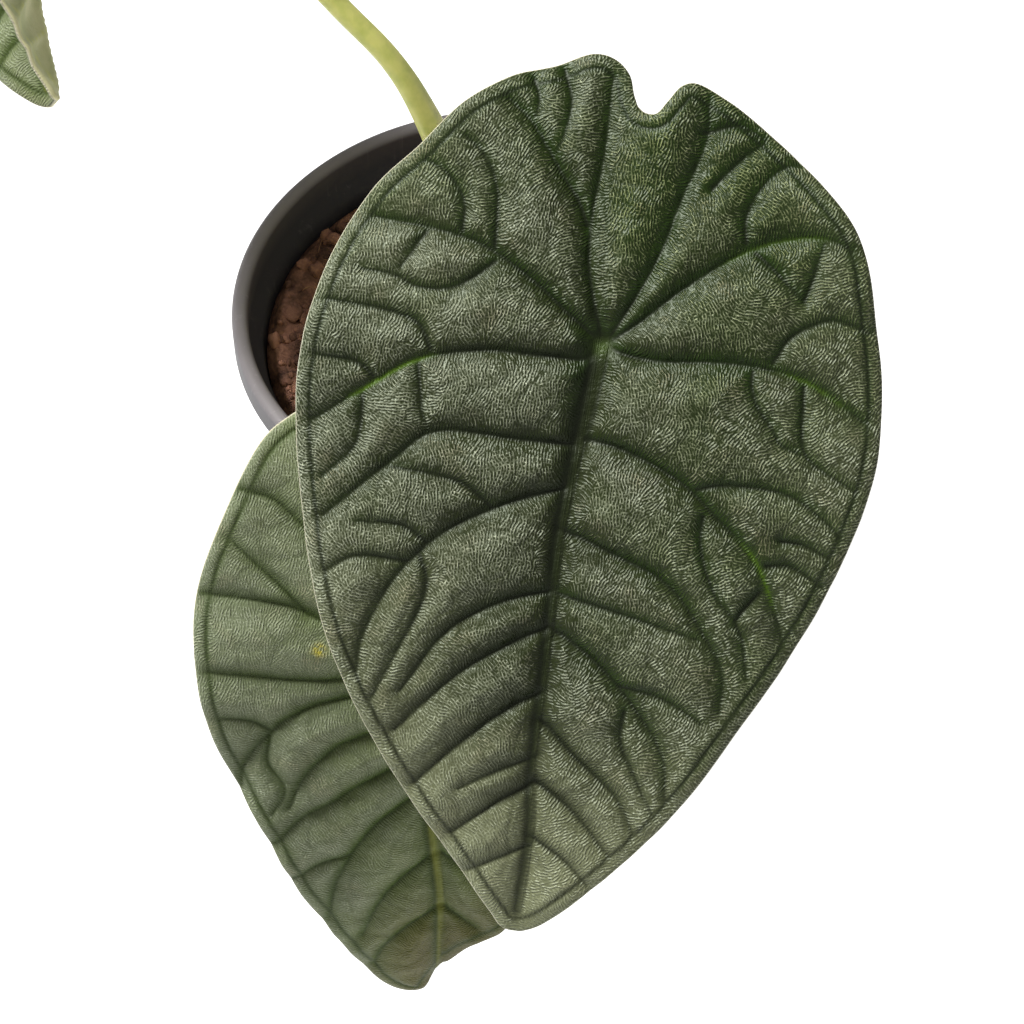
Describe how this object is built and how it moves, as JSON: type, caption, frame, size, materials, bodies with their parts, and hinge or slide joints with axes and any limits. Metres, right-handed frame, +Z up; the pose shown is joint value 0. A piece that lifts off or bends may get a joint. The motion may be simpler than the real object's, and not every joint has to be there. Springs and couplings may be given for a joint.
{
  "type": "potted alocasia melo",
  "caption": "Potted jewel alocasia with thick quilted shield leaves on arching stalks, standing in a round tapered nursery pot of soil.",
  "frame": {"origin": "middle of the pot's underside, on the surface that the pot stands on", "axes": "+Z up, -Y towards the front, where the two large leaves lean out over the rim, +X to the right seen from the front"},
  "size_m": [0.2086, 0.2948, 0.2879],
  "materials": {
    "pot": "satin",
    "soil": "matte",
    "stem": "matte",
    "petiole": "satin",
    "leaf": "satin"
  },
  "bodies": {
    "root": {"pot": "pot", "soil": "soil", "stem": "stem", "petiole_1": "petiole", "leaf_1": "leaf", "petiole_2": "petiole", "leaf_2": "leaf", "petiole_3": "petiole", "leaf_3": "leaf"}
  },
  "joints": []
}
